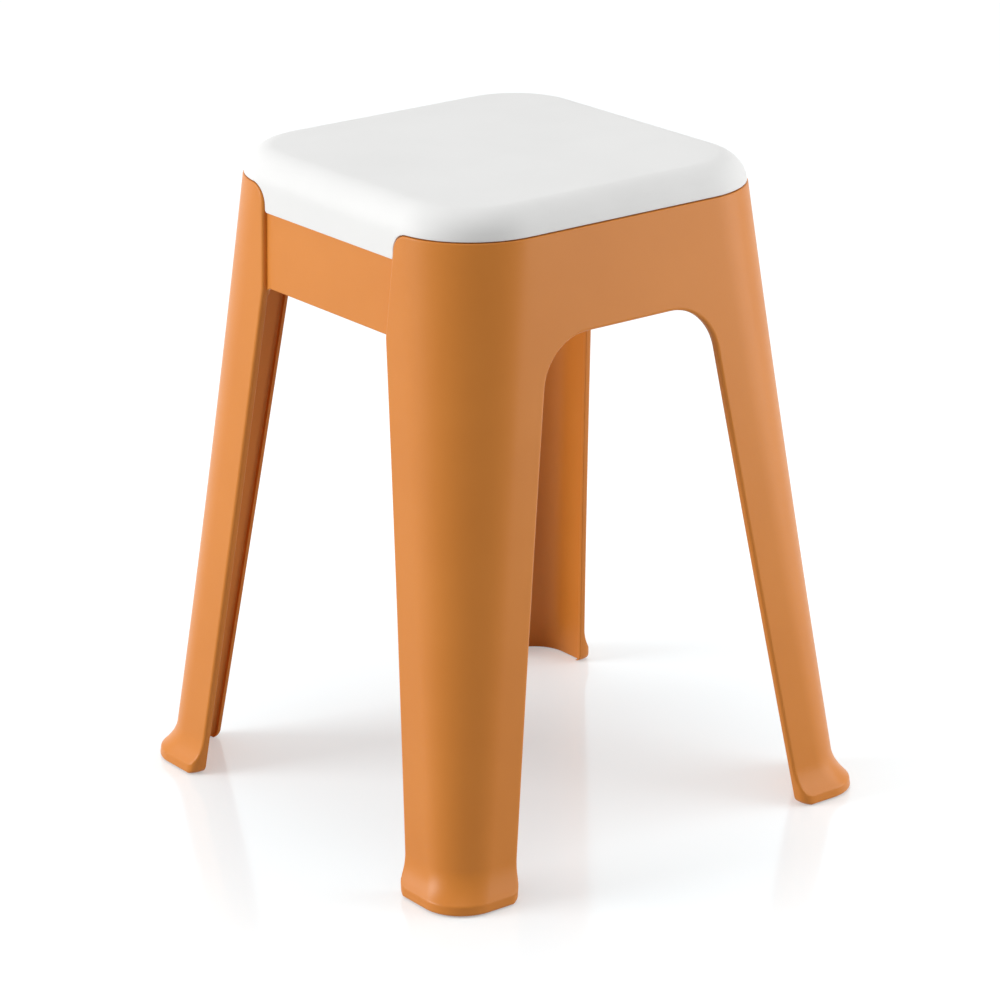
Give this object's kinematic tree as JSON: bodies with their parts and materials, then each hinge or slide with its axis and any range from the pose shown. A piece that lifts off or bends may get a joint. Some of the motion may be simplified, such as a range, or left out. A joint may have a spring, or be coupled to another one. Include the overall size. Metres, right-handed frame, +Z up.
{
  "type": "stacking stool",
  "caption": "Square stacking stool with splayed, flared legs moulded in one with the aprons, and a separate rounded seat cover.",
  "frame": {"origin": "on the floor, under the middle of the seat", "axes": "+Z up; -Y towards the side with a flush arch that is nearest the camera on the right of the picture; X across it, towards the recessed side aprons"},
  "size_m": [0.3558, 0.3682, 0.4483],
  "materials": {
    "base_plastic": "injection-moulded polypropylene, fine satin grain, orange",
    "cover_plastic": "injection-moulded polypropylene, fine satin grain, white",
    "pad_rubber": "soft grey elastomer",
    "screw_steel": "zinc plated"
  },
  "bodies": {
    "root": {"base": "base_plastic", "seat_cover": "cover_plastic", "foot_pad_front_left": "pad_rubber", "foot_pad_front_right": "pad_rubber", "foot_pad_back_left": "pad_rubber", "foot_pad_back_right": "pad_rubber", "cover_screw_front_left": "screw_steel", "cover_screw_front_right": "screw_steel", "cover_screw_back_left": "screw_steel", "cover_screw_back_right": "screw_steel"}
  },
  "joints": []
}
